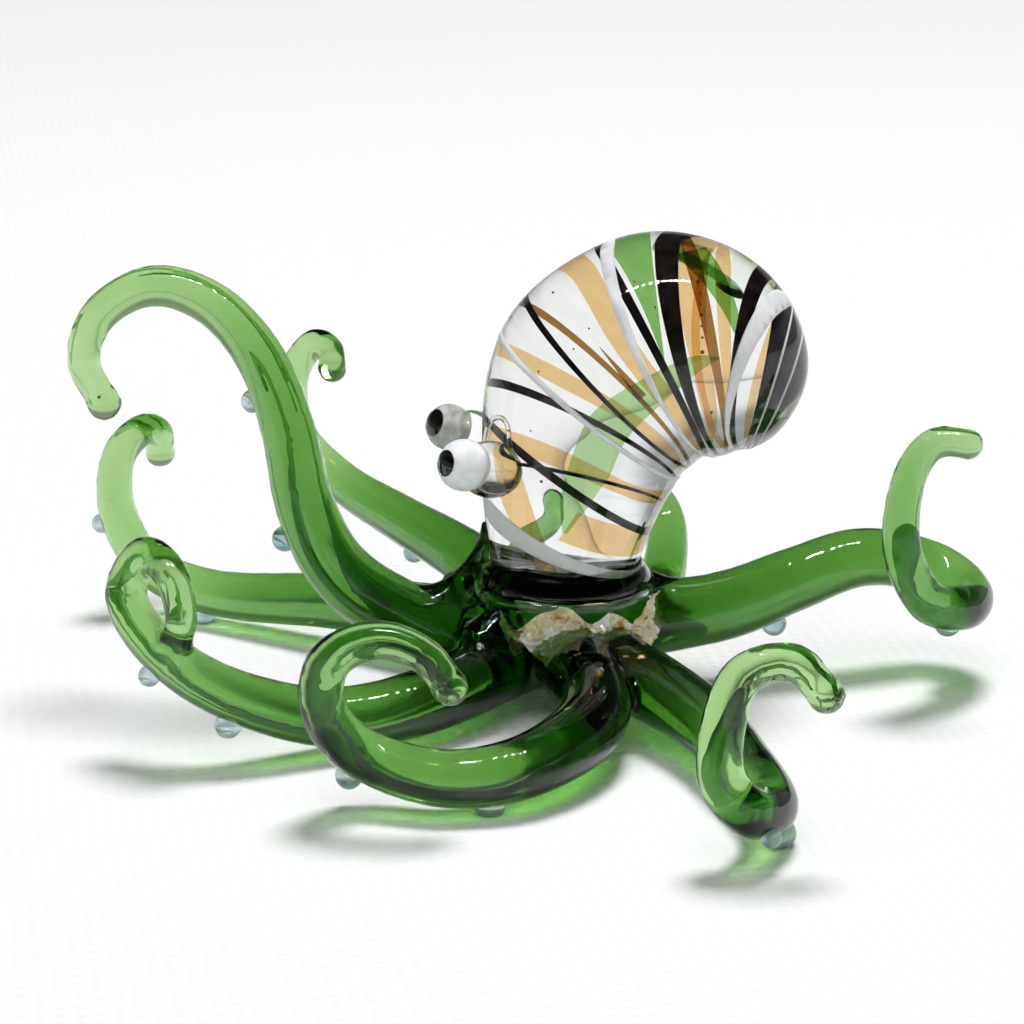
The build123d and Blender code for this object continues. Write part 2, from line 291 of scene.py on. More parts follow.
# The green glass: eight arms drawn out of one hub
footHeight = 0.9  # mm from the floor to the underside of an arm that stands on its suckers
arms = {  # mm; a route runs in shares: along the heading, to its left, and up
    "tall": {"heading": 180, "reach": 46, "rise": 38, "root": 7.6, "tip": 3.0, "ball": 3.5, "route": [
        (0.07, 0, 0.03), (0.20, 0.01, 0.04), (0.35, 0, 0.12), (0.48, 0, 0.25), (0.55, -0.01, 0.43),
        (0.58, -0.04, 0.63), (0.63, -0.09, 0.81), (0.72, -0.15, 0.94), (0.84, -0.19, 0.99),
        (0.95, -0.23, 0.92), (0.99, -0.24, 0.80), (0.95, -0.23, 0.69)]},
    "back": {"heading": 115, "reach": 48, "rise": 24, "root": 6.8, "tip": 2.8, "ball": 3.2, "route": [
        (0.07, 0, 0.09), (0.35, -0.01, 0.22), (0.65, -0.02, 0.29), (0.86, -0.01, 0.37), (0.98, 0.03, 0.56),
        (0.99, 0.04, 0.82), (0.95, 0.01, 1.00), (0.89, 0, 1.00), (0.85, 0.02, 0.94)]},
    "left": {"heading": 140, "reach": 54, "rise": 17, "root": 7.2, "tip": 3.0, "ball": 3.4, "route": [
        (0.06, 0, 0.09), (0.25, 0, 0.07), (0.50, -0.01, 0.06), (0.77, -0.01, 0), (0.93, 0, 0.13),
        (0.98, 0.03, 0.50), (0.99, 0.01, 0.82), (0.97, -0.04, 0.98), (0.97, -0.10, 0.93),
        (0.99, -0.13, 0.78)]},
    "outer": {"heading": 216, "reach": 41, "rise": 17, "root": 7.6, "tip": 2.8, "ball": 3.2, "route": [
        (0.07, 0, 0.05), (0.47, 0.02, 0), (0.70, -0.07, 0), (0.91, -0.17, 0.22), (1.00, -0.30, 0.46),
        (1.01, -0.41, 0.73), (0.98, -0.38, 0.98), (0.99, -0.28, 0.95), (1.00, -0.23, 0.75),
        (1.01, -0.24, 0.59)]},
    "front": {"heading": 262, "reach": 38, "rise": 15, "root": 8.0, "tip": 3.0, "ball": 3.4, "route": [
        (0.08, 0, 0.05), (0.55, 0.05, 0.05), (0.83, -0.10, 0.02), (0.90, -0.31, 0), (0.85, -0.51, 0.13),
        (0.90, -0.60, 0.46), (0.93, -0.59, 0.81), (0.96, -0.48, 0.98), (0.99, -0.37, 0.92),
        (0.99, -0.31, 0.73)]},
    "near": {"heading": 287, "reach": 52, "rise": 16, "root": 7.6, "tip": 3.0, "ball": 3.4, "route": [
        (0.06, 0, 0.06), (0.44, 0.03, 0.03), (0.69, -0.01, 0.01), (0.86, -0.06, 0.02), (0.94, -0.15, 0.13),
        (0.93, -0.20, 0.34), (0.92, -0.19, 0.67), (0.93, -0.16, 0.93), (0.97, -0.09, 1.01),
        (0.99, -0.04, 0.83)]},
    "right": {"heading": -2, "reach": 41, "rise": 24, "root": 7.8, "tip": 2.8, "ball": 3.1, "route": [
        (0.07, 0, 0.07), (0.38, 0, 0.15), (0.56, 0.02, 0.25), (0.74, 0.04, 0.34), (0.92, 0.07, 0.28),
        (0.99, -0.02, 0.22), (0.94, -0.16, 0.24), (0.83, -0.24, 0.33), (0.76, -0.26, 0.58),
        (0.78, -0.23, 0.85), (0.84, -0.22, 1.00), (0.92, -0.23, 1.00)]},
    "rear": {"heading": 52, "reach": 31, "rise": 16, "root": 7.0, "tip": 2.8, "ball": 3.2, "route": [
        (0.10, 0, 0.11), (0.52, -0.02, 0.02), (0.79, 0.03, 0.10), (0.97, 0.10, 0.37), (1.00, 0.18, 0.57),
        (1.01, 0.30, 0.70), (1.01, 0.38, 0.85), (0.99, 0.34, 1.01)]},
}


def runLengths(points):  # how far along the line each point lies
    runs = [0.0]
    for a, b in zip(points, points[1:]):
        runs.append(runs[-1] + (b - a).length)
    return runs


def armLine(arm):  # the arm's middle line and the radius at each point, in mm about the neck's middle line
    turn = math.radians(arm["heading"])
    ahead, left = Vector((math.cos(turn), math.sin(turn), 0)), Vector((-math.sin(turn), math.cos(turn), 0))
    flat = [(ahead * a + left * b) * arm["reach"] for a, b, _ in arm["route"]]
    points = [p + Vector((0, 0, arm["rise"] * row[2])) for p, row in zip(flat, arm["route"])]
    runs = runLengths(points)
    radii = [(arm["root"] + (arm["tip"] - arm["root"]) * run / runs[-1]) / 2 for run in runs]
    return [spot(p.x, p.y, p.z + footHeight + r) for p, r in zip(points, radii)], radii


handleShare = {"between": 6, "end": 3}  # a curve's handle is this part of the step between its neighbours


def addRod(bm, points, radii, spokes, steps):  # a round rod through the points, from a bevelled curve
    curve = bpy.data.curves.new("rod", "CURVE")
    curve.dimensions = "3D"
    curve.bevel_depth, curve.bevel_resolution, curve.resolution_u = mm, spokes, steps
    curve.use_fill_caps = True
    spline = curve.splines.new("BEZIER")
    spline.bezier_points.add(len(points) - 1)
    last = len(points) - 1
    for k, bezier in enumerate(spline.bezier_points):
        before, after = points[max(k - 1, 0)], points[min(k + 1, last)]
        step = (after - before) / handleShare["between" if 0 < k < last else "end"]
        bezier.handle_left_type = bezier.handle_right_type = "FREE"
        bezier.co, bezier.handle_left, bezier.handle_right = points[k], points[k] - step, points[k] + step
        bezier.radius = radii[k]
    rod = bpy.data.objects.new("rod", curve)
    scene.collection.objects.link(rod)
    mesh = applied(rod)
    bm.from_mesh(mesh)
    bpy.data.objects.remove(rod)
    bpy.data.curves.remove(curve)
    bpy.data.meshes.remove(mesh)


def addBall(bm, place, radius, stretch=Matrix.Identity(4)):
    bmesh.ops.create_uvsphere(bm, u_segments=32, v_segments=20, radius=radius,
                              matrix=Matrix.Translation(place) @ stretch)


def addLathe(bm, profile, steps):  # a turned body: (radius, height) pairs in mm, from the axis and back to it
    verts = [bm.verts.new(spot(r, 0, z)) for r, z in profile]
    edges = [bm.edges.new(pair) for pair in zip(verts, verts[1:])]
    bmesh.ops.spin(bm, geom=verts + edges, cent=middle, axis=(0, 0, 1), dvec=(0, 0, 0),
                   angle=2 * math.pi, steps=steps, use_merge=True, use_duplicate=False)


greenBody = {
    "profile": [(0, 1.7), (5.6, 1.7), (7.6, 3.0), (8.5, 5.4), (8.5, 7.6), (8.3, 9.6), (8.2, 10.8), (7.6, 11.6),
                (0, 11.8)],
    "shoulders": [  # heading, then places out and up with the radius there: glass drawn up the neck
        (180, [(13.5, 8.8, 2.7), (10.8, 9.9, 2.5), (9.1, 11.9, 2.1), (8.0, 14.2, 1.5), (7.6, 16.4, 1.0),
               (7.8, 18.2, 0.6)]),
        (-2, [(13.5, 7.6, 2.8), (10.8, 8.6, 2.6), (8.8, 10.0, 2.1), (7.6, 11.6, 1.4)]),
        (140, [(12.5, 7.8, 2.8), (10.2, 9.2, 2.4), (8.4, 10.8, 1.9), (7.4, 12.4, 1.2)]),
        (216, [(12.0, 7.0, 2.6), (10.0, 8.6, 2.2), (8.4, 10.2, 1.6)])],
    "steps": 72, "voxel": 0.42, "polish": 7, "shoulderPolish": 12, "shoulderReach": 15, "swell": 0.06}


def polish(verts, turns):  # even out the skin, as a flame does
    for _ in range(turns):
        bmesh.ops.smooth_vert(bm, verts=verts, factor=0.5, use_axis_x=True, use_axis_y=True, use_axis_z=True)


bm = bmesh.new()
for name, arm in arms.items():
    points, radii = armLine(arm)
    addRod(bm, points, [r + greenBody["swell"] for r in radii], spokes=7, steps=12)
    addBall(bm, points[-1], (arm["ball"] / 2 + greenBody["swell"]) * mm)
addLathe(bm, greenBody["profile"], greenBody["steps"])
for heading, rows in greenBody["shoulders"]:
    turn = math.radians(heading)
    addRod(bm, [spot(out * math.cos(turn), out * math.sin(turn), z) for out, z, _ in rows],
           [radius for _, _, radius in rows], spokes=6, steps=6)
weld(bm)
faceOut(bm)
greenPiece = newObject("green_arms", bm)
melt = greenPiece.modifiers.new("melt", "REMESH")
melt.mode, melt.voxel_size = "VOXEL", greenBody["voxel"] * mm
greenPiece.data = applied(greenPiece)
greenPiece.modifiers.clear()
bm = bmesh.new()
bm.from_mesh(greenPiece.data)
polish(bm.verts, greenBody["polish"])
shoulders = [v for v in bm.verts if (v.co - middle).to_2d().length < greenBody["shoulderReach"] * mm]
polish(shoulders, greenBody["shoulderPolish"])
bm.to_mesh(greenPiece.data)
bm.free()
dressPiece(greenPiece, greenGlass, ["hub"] + ["arm_" + name for name in arms])

# The dark collar, with the uneven edge of a hot wrap
collar = {"profile": [(0, 11.0), (7.9, 11.1), (8.6, 11.6), (8.6, 12.2), (8.1, 13.0), (7.75, 13.6), (7.6, 14.1),
                      (7.2, 14.35), (6.0, 14.3), (0, 14.2)],
          "waveFrom": 13.2, "wave": 0.9, "ripple": 230, "steps": 120}
bm = bmesh.new()
addLathe(bm, collar["profile"], collar["steps"])
weld(bm)
for v in bm.verts:
    rise = max(v.co.z / mm - collar["waveFrom"], 0)
    v.co.z += min(rise, 1) * collar["wave"] * mm * noise.noise((v.co - middle) * collar["ripple"])
faceOut(bm)
finishPiece("neck_collar", bm, collarGlass, ["collar"])

# The clear mantle, bent over backwards
mantle = {
    "sections": [  # x, z, diameter, tilt in degrees
        (0, 13.2, 15.2, 0), (0.1, 15.0, 15.4, 2), (1.0, 21.1, 18.1, 9), (2.0, 27.6, 21.5, 32),
        (4.3, 31.4, 23.0, 49), (9.3, 34.4, 22.8, 71), (13.9, 34.4, 21.6, 87), (18.0, 32.5, 17.9, 105),
        (20.5, 28.9, 11.7, 126), (20.2, 25.9, 5.9, 142), (19.7, 24.9, 1.2, 150)],
    "spokes": 96, "ringsBetween": 8}


def smoothBetween(rows, share):  # a smooth curve through the rows; share runs from 0 to 1
    place = share * (len(rows) - 1)
    k = min(int(place), len(rows) - 2)
    t = place - k
    a, b, c, d = rows[max(k - 1, 0)], rows[k], rows[k + 1], rows[min(k + 2, len(rows) - 1)]
    return [q + 0.5 * t * (r - p + t * (2 * p - 5 * q + 4 * r - s + t * (3 * (q - r) + s - p)))
            for p, q, r, s in zip(a, b, c, d)]


def ringMatrix(share):
    x, z, diameter, tilt = smoothBetween(mantle["sections"], share)
    return Matrix.Translation(spot(x, 0, z)) @ Matrix.Rotation(math.radians(tilt), 4, "Y") @ Matrix.Scale(
        diameter / 2 * mm, 4)


def mantleBody():
    bm = bmesh.new()
    rings = (len(mantle["sections"]) - 1) * mantle["ringsBetween"]
    bmesh.ops.create_circle(bm, segments=mantle["spokes"], radius=1, cap_ends=True, matrix=ringMatrix(0))
    edges = list(bm.edges)
    for k in range(rings):
        made = bmesh.ops.extrude_edge_only(bm, edges=edges)["geom"]
        step = ringMatrix((k + 1) / rings) @ ringMatrix(k / rings).inverted()
        bmesh.ops.transform(bm, matrix=step, verts=[g for g in made if isinstance(g, bmesh.types.BMVert)])
        edges = [g for g in made if isinstance(g, bmesh.types.BMEdge)]
    bmesh.ops.contextual_create(bm, geom=edges)
    faceOut(bm)
    return bm


finishPiece("mantle_glass", mantleBody(), clearGlass, ["mantle"])

# The coloured threads under the mantle's skin
# Each is given in pixels where it is seen in the picture: at the crease, halfway and at its outer end
threads = {
    "black": {"depth": 0.35, "thick": 0.3, "rows": [
        # crease, halfway, outer end, width at the crease and outside in mm
        ((680, 465), (590, 386), (527, 292), 0.3, 0.7),
        ((668, 467), (575, 412), (492, 381), 0.3, 0.8),
        ((644, 532), (558, 482), (494, 428), 0.75, 0.75),
        ((650, 494), (600, 480), (545, 468), 0.25, 0.3),
        ((703, 448), (660, 360), (600, 250), 0.55, 1.0),
        ((709, 445), (675, 339), (667, 240), 0.4, 2.3),
        ((733, 445), (741, 330), (764, 270), 0.3, 1.5),
        ((749, 441), (781, 382), (800, 335), 0.8, 6.8)]},
    "white": {"depth": -0.05, "thick": 0.25, "rows": [
        ((640, 572), (550, 556), (490, 512), 0.5, 2.2),
        ((665, 476), (560, 402), (501, 330), 0.4, 0.7),
        ((699, 452), (633, 345), (608, 245), 0.15, 1.4),
        ((730, 443), (746, 350), (779, 300), 0.2, 1.6),
        ((753, 440), (772, 390), (789, 330), 0.08, 0.16),
        ((760, 440), (786, 390), (801, 345), 0.08, 0.16)]},
    "amber": {"depth": 0.7, "thick": 0.25, "rows": [
        ((730, 440), (724, 340), (721, 262), 0.3, 1.5),
        ((741, 442), (756, 375), (776, 318), 0.3, 1.0),
        ((716, 442), (700, 400), (694, 360), 0.9, 0.7)]},
    "brown": {"depth": 0.6, "thick": 0.25, "rows": [
        ((687, 455), (614, 372), (531, 306), 0.35, 0.7),
        ((726, 437), (709, 330), (690, 253), 0.4, 1.5),
        ((745, 443), (768, 385), (786, 325), 0.3, 0.6)]},
}
farThreads = {  # threads on the far side, which the mantle shows about three times as wide
    "depth": 0.7, "thick": 0.25, "rows": [  # as above, with one width in mm
        ("amber", (655, 445), (580, 392), (512, 356), 0.7),
        ("amber", (675, 430), (605, 340), (562, 280), 0.9),
        ("amber", (635, 482), (560, 446), (500, 420), 0.75),
        ("amber", (705, 430), (682, 340), (676, 300), 0.75)]}
streaks = {  # short wide streaks on the near side: colour, from, middle, to, two widths in mm
    "depth": {"amber": 0.75, "brown": 0.75, "green": 1.15}, "thick": 0.25, "rows": [
        ("amber", (544, 574), (526, 525), (500, 462), 1.6, 4.2),
        ("amber", (652, 540), (615, 535), (578, 532), 3.0, 3.4),
        ("brown", (640, 395), (620, 372), (602, 350), 0.9, 0.1),
        # the green rows are painted refraction: the arms seen through the mantle
        ("green", (662, 350), (644, 290), (627, 237), 0.1, 4.4),
        ("green", (748, 352), (722, 300), (697, 252), 0.1, 3.6)]}

skinBody = mantleBody()
skinTree = BVHTree.FromBMesh(skinBody)
sight = {"frame": 1024, "ior": 1.51, "skip": 0.01, "inside": spot(9, 0, 28)}


def seenOnMantle(px, py, far=False):  # where that place of the picture lies on the mantle's near or far side
    pixel = camera["sensor"] / sight["frame"]
    half = sight["frame"] / 2
    way = cameraTurn @ Vector(((px - half) * pixel, (half - py) * pixel, -camera["lens"])).normalized()
    hit, normal, _, _ = skinTree.ray_cast(cameraPlace, way)
    if hit is None:
        return skinTree.find_nearest(cameraPlace + way * (sight["inside"] - cameraPlace).length)[0]
    if not far:
        return hit
    facing = -way.dot(normal)
    slow = 1 / sight["ior"]
    bent = way * slow + normal * (slow * facing - math.sqrt(1 - slow * slow * (1 - facing * facing)))
    return skinTree.ray_cast(hit + bent * sight["skip"] * mm, bent)[0]


# Where a thread's strip of skin ends, in mm; one with less slope than this has parallel sides
strip = {"nearTo": 7.0, "farFrom": 1.5, "shortEnd": 0.3, "longEnd": 2, "parallel": 1e-3}


def cutThread(bm, crease, halfway, outer, creaseWidth, outerWidth, depth, thick, far=False, short=False):
    a, b, c = (seenOnMantle(*p, far) for p in (crease, halfway, outer))
    along = (c - a).normalized()
    if short and not far:
        side = along.cross(skinTree.find_nearest(b)[1]).normalized()  # square to the skin
    else:
        side = (b - a).cross(c - a).normalized()  # square to the loop's plane
    slope = math.atan2((outerWidth - creaseWidth) * mm / 2, (c - a).length)
    if abs(slope) > strip["parallel"]:
        pivot, shift = a - along * creaseWidth * mm / 2 / math.tan(slope), 0
    else:
        pivot, shift = a, creaseWidth * mm / 2
    cuts = [(pivot + side * shift, side * math.cos(slope) - along * math.sin(slope)),
            (pivot - side * shift, -side * math.cos(slope) - along * math.sin(slope)),
            (a - along * strip["shortEnd" if short else "longEnd"] * mm, -along)]
    if far:
        cuts.append((spot(0, strip["farFrom"], 0), Vector((0, -1, 0))))
    else:
        cuts.append((spot(0, strip["nearTo"], 0), Vector((0, 1, 0))))
    if short:
        cuts.append((c + along * strip["shortEnd"] * mm, along))
    elif not far:  # runs out to a point behind the crown
        end = Vector((c.x, cuts[-1][0].y, c.z))
        end -= side * (end - c).dot(side)
        back = (end - c).normalized()
        taper = math.atan2(outerWidth * mm / 2, (end - c).length)
        cuts += [(end, side * math.cos(taper) + back * math.sin(taper)),
                 (end, -side * math.cos(taper) + back * math.sin(taper))]
    loop = skinBody.copy()
    for v in loop.verts:
        v.co -= v.normal * depth * mm
    for place, way in cuts:
        cutOff(loop, place, way, clear_outer=True)
    bmesh.ops.solidify(loop, geom=list(loop.faces), thickness=thick * mm)
    mesh = bpy.data.meshes.new("loop")
    loop.to_mesh(mesh)
    loop.free()
    bm.from_mesh(mesh)
    bpy.data.meshes.remove(mesh)


# Each colour's glass, slot and solids; the brown and green ones are in the scene only, and the green ones are
# painted refraction of the arms
threadKinds = {
    "black": (blackThread, "black_glass", ["black_bands"]),
    "white": (whiteThread, "white_glass", ["white_bands"]),
    "amber": (amberThread, "amber_glass", ["amber_bands"]),
    "brown": (brownThread, "amber_glass", []),
    "green": (greenRefractionStreak, "green_glass", [])}
for colour, (material, slot, nodes) in threadKinds.items():
    bm = bmesh.new()
    if colour in threads:
        group = threads[colour]
        for row in group["rows"]:
            cutThread(bm, *row, group["depth"], group["thick"])
    for tone, *row, width in farThreads["rows"]:
        if tone == colour:
            cutThread(bm, *row, width, width, farThreads["depth"], farThreads["thick"], far=True)
    for tone, *row in streaks["rows"]:
        if tone == colour:
            cutThread(bm, *row, streaks["depth"][colour], streaks["thick"], short=True)
    faceOut(bm)
    finishPiece(colour + "_threads", bm, material, nodes)


def underSkin(places, depth):  # points under what is seen at those places, that many mm below the skin
    hits = [seenOnMantle(*place[:2]) for place in places]
    return [hit - skinTree.find_nearest(hit)[1] * depth * mm for hit in hits]


# A bent green rod deeper in the mantle, painted refraction of an arm seen through it, a loop of clear thread
# above the near eye, and seeds
refractedArmCane = {"depth": 3.2, "path": [  # where it is seen, and its radius in mm
    (730, 360, 0.1), (700, 372, 0.8), (655, 400, 1.4), (612, 438, 1.9), (590, 480, 1.8), (574, 514, 1.2),
    (562, 542, 0.2)]}
bm = bmesh.new()
addRod(bm, underSkin(refractedArmCane["path"], refractedArmCane["depth"]), [row[2] for row in refractedArmCane["path"]], spokes=6, steps=8)
weld(bm)
faceOut(bm)
finishPiece("green_cane_painted_refraction", bm, caneRefractionGlass, [])
loop = {"path": [(486, 446), (489, 428), (495, 419), (503, 418), (509, 427), (511, 446), (516, 462)],
        "radius": 0.24, "depth": -0.15}
bm = bmesh.new()
addRod(bm, underSkin(loop["path"], loop["depth"]), [loop["radius"]] * len(loop["path"]), spokes=4, steps=8)
weld(bm)
finishPiece("thread_loop", bm, clearGlass, [])
seeds = {"depth": 1.2, "places": [  # where they are seen, and their size in mm
    (555, 295, 0.16), (543, 480, 0.16), (533, 430, 0.10), (697, 284, 0.22), (699, 296, 0.10), (699, 306, 0.12),
    (700, 316, 0.16), (700, 327, 0.12), (701, 338, 0.14), (701, 352, 0.20), (635, 284, 0.10), (655, 309, 0.10),
    (575, 350, 0.10), (512, 430, 0.10), (663, 497, 0.12), (710, 410, 0.18), (541, 372, 0.12), (590, 330, 0.10)]}
bm = bmesh.new()
for px, py, size in seeds["places"]:
    hit = seenOnMantle(px, py)
    way = (hit - cameraPlace).normalized()
    bmesh.ops.create_icosphere(bm, subdivisions=2, radius=size * mm,
                               matrix=Matrix.Translation(hit + way * seeds["depth"] * mm))
finishPiece("glass_seeds", bm, seedGlass, [])
skinBody.free()

# The clear lip where the mantle was pressed onto the hub
lip = {"out": 8.5, "thick": 0.5, "height": 11.0, "wave": 0.5, "ripple": 180, "sides": 16, "steps": 80}
bm = bmesh.new()
ring = []
for k in range(lip["sides"]):
    angle = k * 2 * math.pi / lip["sides"]
    ring.append(bm.verts.new(spot(lip["out"] + lip["thick"] * math.cos(angle), 0,
                                  lip["height"] + lip["thick"] * math.sin(angle))))
edges = [bm.edges.new(pair) for pair in zip(ring, ring[1:] + ring[:1])]
bmesh.ops.spin(bm, geom=ring + edges, cent=middle, axis=(0, 0, 1), dvec=(0, 0, 0), angle=2 * math.pi,
               steps=lip["steps"], use_merge=True, use_duplicate=False)
weld(bm)
for v in bm.verts:
    v.co.z += lip["wave"] * mm * noise.noise((v.co - middle) * lip["ripple"])
faceOut(bm)
finishPiece("neck_bead", bm, clearGlass, ["neck_lip"])

# Crumpled silver below the lip, on the octopus's own left
crumple = {"radius": 8.9, "low": 6.2, "high": 10.6, "from": -144, "to": -14, "rows": 26, "steps": 220,
           "fold": 0.75, "edge": 3.2, "thick": 0.12, "ripple": 500, "crease": 1300, "creaseShare": 0.7,
           "grit": 2900, "gritShare": 0.15, "edgeRipple": 320, "edgeSlice": 0.02}
bm = bmesh.new()
column = [bm.verts.new(spot(crumple["radius"], 0, crumple["low"] + (crumple["high"] - crumple["low"]) * k
                            / crumple["rows"])) for k in range(crumple["rows"] + 1)]
edges = [bm.edges.new(pair) for pair in zip(column, column[1:])]
bmesh.ops.rotate(bm, verts=column, cent=middle, matrix=Matrix.Rotation(math.radians(crumple["from"]), 3, "Z"))
bmesh.ops.spin(bm, geom=column + edges, cent=middle, axis=(0, 0, 1), dvec=(0, 0, 0),
               angle=math.radians(crumple["to"] - crumple["from"]), steps=crumple["steps"], use_duplicate=False)
centreHeight = (crumple["low"] + crumple["high"]) / 2
for v in bm.verts:
    here = v.co - middle
    way = Vector((here.x, here.y, 0)).normalized()
    share = (here.z / mm - centreHeight) / (crumple["high"] - centreHeight)
    v.co += way * crumple["fold"] * mm * (noise.noise(here * crumple["ripple"])
                                          + crumple["creaseShare"] * abs(noise.noise(here * crumple["crease"]))
                                          + crumple["gritShare"] * noise.noise(here * crumple["grit"]))
    flat = Vector((here.x, here.y, crumple["edgeSlice"]))
    v.co.z += crumple["edge"] * mm * share * noise.noise(flat * crumple["edgeRipple"])
bmesh.ops.solidify(bm, geom=list(bm.faces), thickness=crumple["thick"] * mm)
faceOut(bm)
finishPiece("silver_crumple", bm, fumeGlass, [], smooth=False)

# Suckers: opal drops pressed onto the arms
suckers = {
    "size": 2.3, "sink": 0.2, "rows": {  # share of the arm's length, turn round it in degrees, size
        "tall": [(0.36, -20, 1.1), (0.55, -30, 1.0)], "back": [(0.40, 0, 1.0), (0.72, 40, 1.0)],
        "left": [(0.57, 0, 1.1), (0.76, 0, 0.9)], "outer": [(0.38, 0, 1.1), (0.55, 10, 1.1), (0.66, 15, 0.9)],
        "front": [(0.50, 0, 1.2), (0.66, 0, 1.1)], "near": [(0.42, 0, 1.1), (0.60, 20, 1.2), (0.67, 40, 0.8)],
        "right": [(0.24, 0, 1.1), (0.62, -10, 1.2)], "rear": [(0.28, 0, 1.1), (0.45, 0, 1.0)]}}


fineSteps = 12


def alongArm(points, radii, share):  # place, direction, underside and radius at a share of the arm's length
    fine = []
    for k in range(len(points) - 1):
        a, b, c, d = points[max(k - 1, 0)], points[k], points[k + 1], points[min(k + 2, len(points) - 1)]
        for j in range(fineSteps):
            t = j / fineSteps
            fine.append(b + (c - a) * 0.5 * t + (a * 2 - b * 5 + c * 4 - d) * 0.5 * t * t
                        + (b * 3 - c * 3 + d - a) * 0.5 * t * t * t)
    fine.append(points[-1])
    runs = runLengths(fine)
    under = Vector((0, 0, -1))
    for k in range(len(fine) - 1):
        way = (fine[k + 1] - fine[k]).normalized()
        under = (under - way * under.dot(way)).normalized()
        if runs[k + 1] >= share * runs[-1]:
            return fine[k], way, under, radii[0] + (radii[-1] - radii[0]) * share
    return fine[-1], way, under, radii[-1]


for name, rows in suckers["rows"].items():
    points, radii = armLine(arms[name])
    bm = bmesh.new()
    for share, turn, size in rows:
        place, way, under, radius = alongArm(points, radii, share)
        out = under * math.cos(math.radians(turn)) + way.cross(under) * math.sin(math.radians(turn))
        drop = suckers["size"] * size / 2
        centre = place + out * (radius + drop * suckers["sink"]) * mm
        addBall(bm, centre, drop * mm)
    for v in bm.verts:
        v.co.z = max(v.co.z, 0)
    finishPiece("drops_" + name, bm, opalGlass, ["suckers_" + name])

# Eyes
eyeShape = {"bossShare": 0.58, "bossWide": 1.1, "bossLong": 1.3, "pupilProud": 1.03}
eyes = {  # the ball's place and size, the pupil's size, how far it looks to the side and up, the boss's root
    "left": {"ball": (-11.0, -7.0, 25.5, 5.0), "pupil": 2.6, "gaze": (28, 14), "root": (-4.6, -4.8, 23.6),
             "boss": 5.0},
    "right": {"ball": (-10.2, 7.0, 25.6, 4.6), "pupil": 2.8, "gaze": (26, 22), "root": (-4.6, 4.8, 24.0),
              "boss": 4.4}}
for name, eye in eyes.items():
    *place, size = eye["ball"]
    centre, root = spot(*place), spot(*eye["root"])
    bm = bmesh.new()
    addBall(bm, centre, size / 2 * mm)
    finishPiece("eye_" + name, bm, eyeWhite[name], [name + "_eye_white"])
    along = (centre - root).normalized()
    turn = along.to_track_quat("Z", "Y").to_matrix().to_4x4()
    bm = bmesh.new()
    stretch = Matrix.Diagonal((eyeShape["bossWide"], eyeShape["bossWide"], eyeShape["bossLong"], 1))
    addBall(bm, root.lerp(centre, eyeShape["bossShare"]), eye["boss"] / 2 * mm, turn @ stretch)
    finishPiece("boss_" + name, bm, beadGlass, [name + "_eye_boss"])
for name, eye in eyes.items():
    *place, size = eye["ball"]
    turn, lift = (math.radians(angle) for angle in eye["gaze"])  # both look to the same side
    way = Vector((-math.cos(turn) * math.cos(lift), -math.sin(turn) * math.cos(lift), math.sin(lift)))
    bm = bmesh.new()
    addBall(bm, spot(*place), size / 2 * mm * eyeShape["pupilProud"])
    deep = math.sqrt((size / 2 * eyeShape["pupilProud"]) ** 2 - (eye["pupil"] / 2) ** 2)
    cut = cutOff(bm, spot(*place) + way * deep * mm, way, clear_inner=True)
    rim = [g for g in cut["geom_cut"] if isinstance(g, bmesh.types.BMEdge)]
    bmesh.ops.contextual_create(bm, geom=rim)
    faceOut(bm)
    finishPiece("pupil_" + name, bm, pupilGlass, [name + "_eye_pupil"])
print("eyes ready")

# Floor: white cotton cloth, kept plain
cloth = {"half": 1500, "thread": 1.5, "lift": 0.2, "wave": 0.314}
material, tree = newMaterial("white_cotton_cloth_woven")
place = addNode(tree, "ShaderNodeTexCoord", {}, {})
across, along = (addNode(tree, "ShaderNodeTexWave", {"bands_direction": way}, {
    "Vector": place.outputs["Object"], "Scale": cloth["wave"] / (cloth["thread"] * mm), "Distortion": 1.0,
    "Detail": 1.0}) for way in "XY")
weave = addNode(tree, "ShaderNodeMath", {"operation": "MULTIPLY"}, {
    0: across.outputs["Fac"], 1: along.outputs["Fac"]})
bump = addNode(tree, "ShaderNodeBump", {}, {
    "Strength": 0.6, "Distance": cloth["lift"] * mm, "Height": weave.outputs[0]})
shader = addNode(tree, "ShaderNodeBsdfPrincipled", {}, {
    "Base Color": toLinear("#f3f3f4"), "Roughness": 0.9, "Specular IOR Level": 0.1,
    "Normal": bump.outputs["Normal"]})
addNode(tree, "ShaderNodeOutputMaterial", {}, {"Surface": shader.outputs[0]})
bm = bmesh.new()
bmesh.ops.create_grid(bm, x_segments=1, y_segments=1, size=cloth["half"] * mm)
floor = newObject("floor", bm)
floor.data.materials.append(material)

# Light: a dim room over a white cloth, two soft lamps overhead and a row of small ones that only gloss shows
room = {"dim": 0.08, "horizon": (0.12, 0.30), "through": 0.3, "gloss": 0.3, "white": "#f4f5f9",
        "aim": (0, 0, 15), "lamps": [  # place, size in m, power in W, spread in degrees
            ((250, 350, 1700), 0.6, 13.2, 130), ((-350, -900, 2000), 1.8, 12, 170)]}
world = bpy.data.worlds.new("room")
scene.world = world
world.use_nodes = True
tree = world.node_tree
tree.nodes.clear()
place = addNode(tree, "ShaderNodeTexCoord", {}, {})
parts = addNode(tree, "ShaderNodeSeparateXYZ", {}, {0: place.outputs["Generated"]})
path = addNode(tree, "ShaderNodeLightPath", {}, {})
ceiling = addNode(tree, "ShaderNodeMath", {"operation": "MULTIPLY_ADD"}, {
    0: path.outputs["Is Transmission Ray"], 1: room["through"], 2: room["dim"]})
above = addNode(tree, "ShaderNodeMapRange", {"interpolation_type": "SMOOTHSTEP"}, {
    "Value": parts.outputs["Z"], "From Min": room["horizon"][0], "From Max": room["horizon"][1],
    "To Min": 1.0, "To Max": ceiling.outputs[0]})
